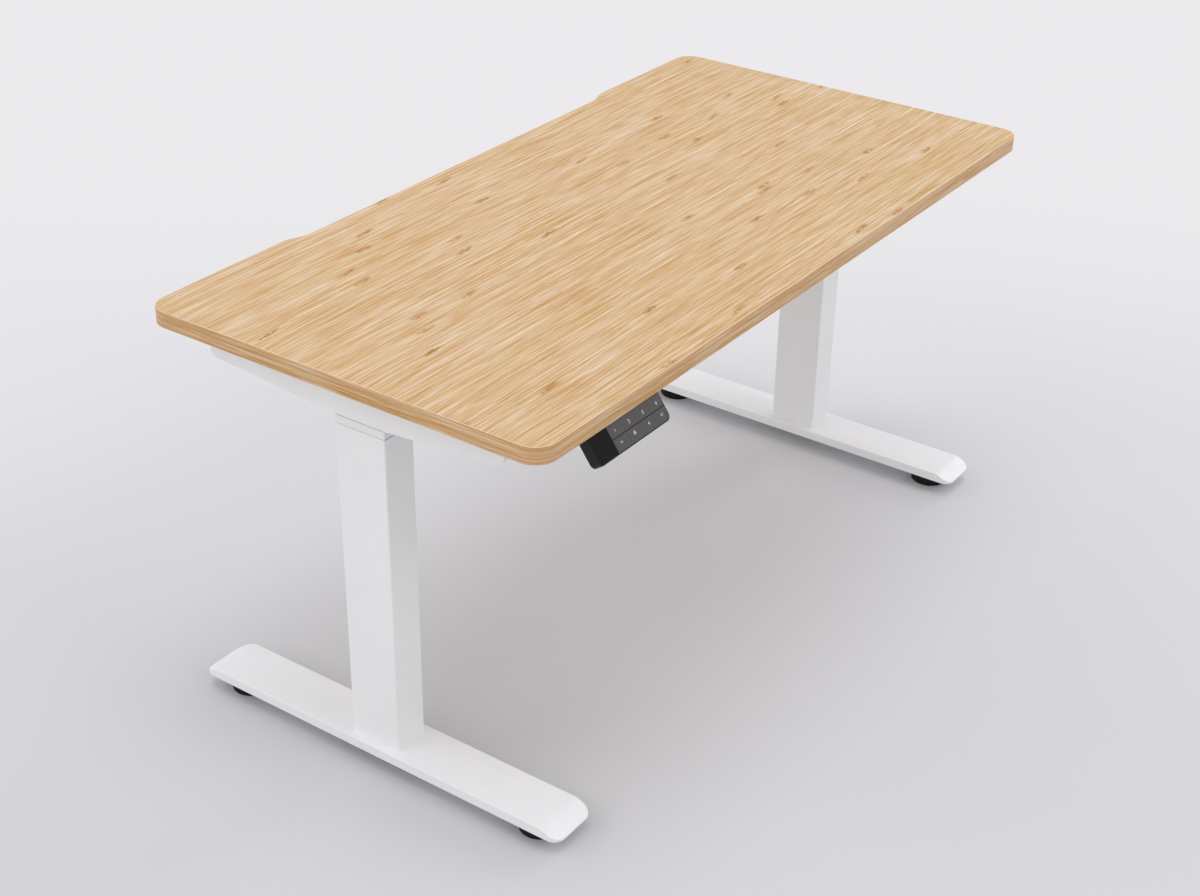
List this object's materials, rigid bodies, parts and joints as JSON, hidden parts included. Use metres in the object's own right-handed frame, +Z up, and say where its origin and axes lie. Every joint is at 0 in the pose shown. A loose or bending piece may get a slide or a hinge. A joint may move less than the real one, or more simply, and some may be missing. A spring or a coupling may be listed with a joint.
{
  "type": "height adjustable standing desk",
  "caption": "Electric sit-stand desk: bamboo top with a rear cable notch, two-stage lifting columns on flat feet, tilted keypad under the front edge.",
  "frame": {"origin": "on the floor under the middle of the whole desk with its keypad, at the lowest height", "axes": "+X along the desk to the user's right, +Y from the user to the back, +Z up"},
  "size_m": [1.4, 0.7213, 0.685],
  "materials": {
    "bamboo": "clear lacquered bamboo strips",
    "white_powder": "satin powder coat on steel",
    "zinc_steel": "zinc plated",
    "black_steel": "black oxide",
    "motor_case": "satin grey",
    "collar_plastic": "moulded, white",
    "glide_plastic": "nylon",
    "nut_plastic": "acetal",
    "pad_rubber": "moulded",
    "case_plastic": "fine textured",
    "box_plastic": "fine textured",
    "key_plastic": "matt",
    "window_plastic": "polished black",
    "circuit_board": "green solder mask",
    "socket_plastic": "nylon"
  },
  "bodies": {
    "base_left": {"foot_shell_left": "white_powder", "foot_stiffener_left": "zinc_steel", "foot_bolts_left": "zinc_steel", "leveller_inserts_left": "zinc_steel", "column_outer_left": "white_powder", "guide_collar_left": "collar_plastic", "nut_post_left": "zinc_steel", "lead_nut_left": "nut_plastic"},
    "screw_left": {"lead_screw_left": "zinc_steel"},
    "leveller_left_front": {"leveller_left_front": "pad_rubber"},
    "leveller_left_rear": {"leveller_left_rear": "pad_rubber"},
    "base_right": {"foot_shell_right": "white_powder", "foot_stiffener_right": "zinc_steel", "foot_bolts_right": "zinc_steel", "leveller_inserts_right": "zinc_steel", "column_outer_right": "white_powder", "guide_collar_right": "collar_plastic", "nut_post_right": "zinc_steel", "lead_nut_right": "nut_plastic"},
    "screw_right": {"lead_screw_right": "zinc_steel"},
    "leveller_right_front": {"leveller_right_front": "pad_rubber"},
    "leveller_right_rear": {"leveller_right_rear": "pad_rubber"},
    "top": {"desktop": "bamboo", "wood_screws": "zinc_steel", "head_bolts": "zinc_steel", "beam_bolts": "zinc_steel", "cross_beam_front": "white_powder", "cross_beam_rear": "white_powder", "control_tray": "box_plastic", "control_lid": "box_plastic", "control_board": "circuit_board", "box_screws": "black_steel", "motor_sockets": "socket_plastic", "power_inlet": "case_plastic", "keypad_housing": "case_plastic", "keypad_back": "case_plastic", "display_window": "window_plastic", "display_module": "circuit_board", "keypad_board": "circuit_board", "column_inner_left": "white_powder", "glide_shoe_left": "glide_plastic", "head_plate_left": "zinc_steel", "side_bracket_left": "white_powder", "gear_motor_left": "motor_case", "thrust_bearing_left": "zinc_steel", "column_inner_right": "white_powder", "glide_shoe_right": "glide_plastic", "head_plate_right": "zinc_steel", "side_bracket_right": "white_powder", "gear_motor_right": "motor_case", "thrust_bearing_right": "zinc_steel"},
    "key_preset_1": {"key_preset_1": "key_plastic"},
    "key_preset_2": {"key_preset_2": "key_plastic"},
    "key_preset_3": {"key_preset_3": "key_plastic"},
    "key_up": {"key_up": "key_plastic"},
    "key_down": {"key_down": "key_plastic"},
    "key_lock": {"key_lock": "key_plastic"},
    "key_memory": {"key_memory": "key_plastic"},
    "key_timer": {"key_timer": "key_plastic"}
  },
  "joints": [
    {"name": "lift_left", "type": "slide", "parent": "base_left", "child": "top", "axis": [0, 0, 1], "range_m": [0, 0.44]},
    {"name": "lift_right", "type": "slide", "parent": "top", "child": "base_right", "axis": [0, 0, -1], "range_m": [0, 0.44]},
    {"name": "spindle_left", "type": "hinge", "parent": "top", "child": "screw_left", "pos_m": [-0.618, 0.01084, 0.3], "axis": [0, 0, 1], "range_deg": [0, 15841]},
    {"name": "spindle_right", "type": "hinge", "parent": "top", "child": "screw_right", "pos_m": [0.618, 0.01084, 0.3], "axis": [0, 0, 1], "range_deg": [0, 15841]},
    {"name": "level_left_front", "type": "slide", "parent": "base_left", "child": "leveller_left_front", "axis": [0, 0, -1], "range_m": [0, 0.008]},
    {"name": "level_left_rear", "type": "slide", "parent": "base_left", "child": "leveller_left_rear", "axis": [0, 0, -1], "range_m": [0, 0.008]},
    {"name": "level_right_front", "type": "slide", "parent": "base_right", "child": "leveller_right_front", "axis": [0, 0, -1], "range_m": [0, 0.008]},
    {"name": "level_right_rear", "type": "slide", "parent": "base_right", "child": "leveller_right_rear", "axis": [0, 0, -1], "range_m": [0, 0.008]},
    {"name": "press_preset_1", "type": "slide", "parent": "top", "child": "key_preset_1", "axis": [0, 0.809, -0.5878], "range_m": [0, 0.0004], "stiffness_N_per_m": 4000, "springref_m": -0.0002},
    {"name": "press_preset_2", "type": "slide", "parent": "top", "child": "key_preset_2", "axis": [0, 0.809, -0.5878], "range_m": [0, 0.0004], "stiffness_N_per_m": 4000, "springref_m": -0.0002},
    {"name": "press_preset_3", "type": "slide", "parent": "top", "child": "key_preset_3", "axis": [0, 0.809, -0.5878], "range_m": [0, 0.0004], "stiffness_N_per_m": 4000, "springref_m": -0.0002},
    {"name": "press_up", "type": "slide", "parent": "top", "child": "key_up", "axis": [0, 0.809, -0.5878], "range_m": [0, 0.0004], "stiffness_N_per_m": 4000, "springref_m": -0.0002},
    {"name": "press_down", "type": "slide", "parent": "top", "child": "key_down", "axis": [0, 0.809, -0.5878], "range_m": [0, 0.0004], "stiffness_N_per_m": 4000, "springref_m": -0.0002},
    {"name": "press_lock", "type": "slide", "parent": "top", "child": "key_lock", "axis": [0, 0.809, -0.5878], "range_m": [0, 0.0004], "stiffness_N_per_m": 4000, "springref_m": -0.0002},
    {"name": "press_memory", "type": "slide", "parent": "top", "child": "key_memory", "axis": [0, 0.809, -0.5878], "range_m": [0, 0.0004], "stiffness_N_per_m": 4000, "springref_m": -0.0002},
    {"name": "press_timer", "type": "slide", "parent": "top", "child": "key_timer", "axis": [0, 0.809, -0.5878], "range_m": [0, 0.0004], "stiffness_N_per_m": 4000, "springref_m": -0.0002}
  ],
  "couplings": [
    {"joint": "lift_right", "follows": "lift_left", "ratio": 1},
    {"joint": "spindle_left", "follows": "lift_left", "rad_per_m": 628.32},
    {"joint": "spindle_right", "follows": "lift_left", "rad_per_m": 628.32}
  ]
}
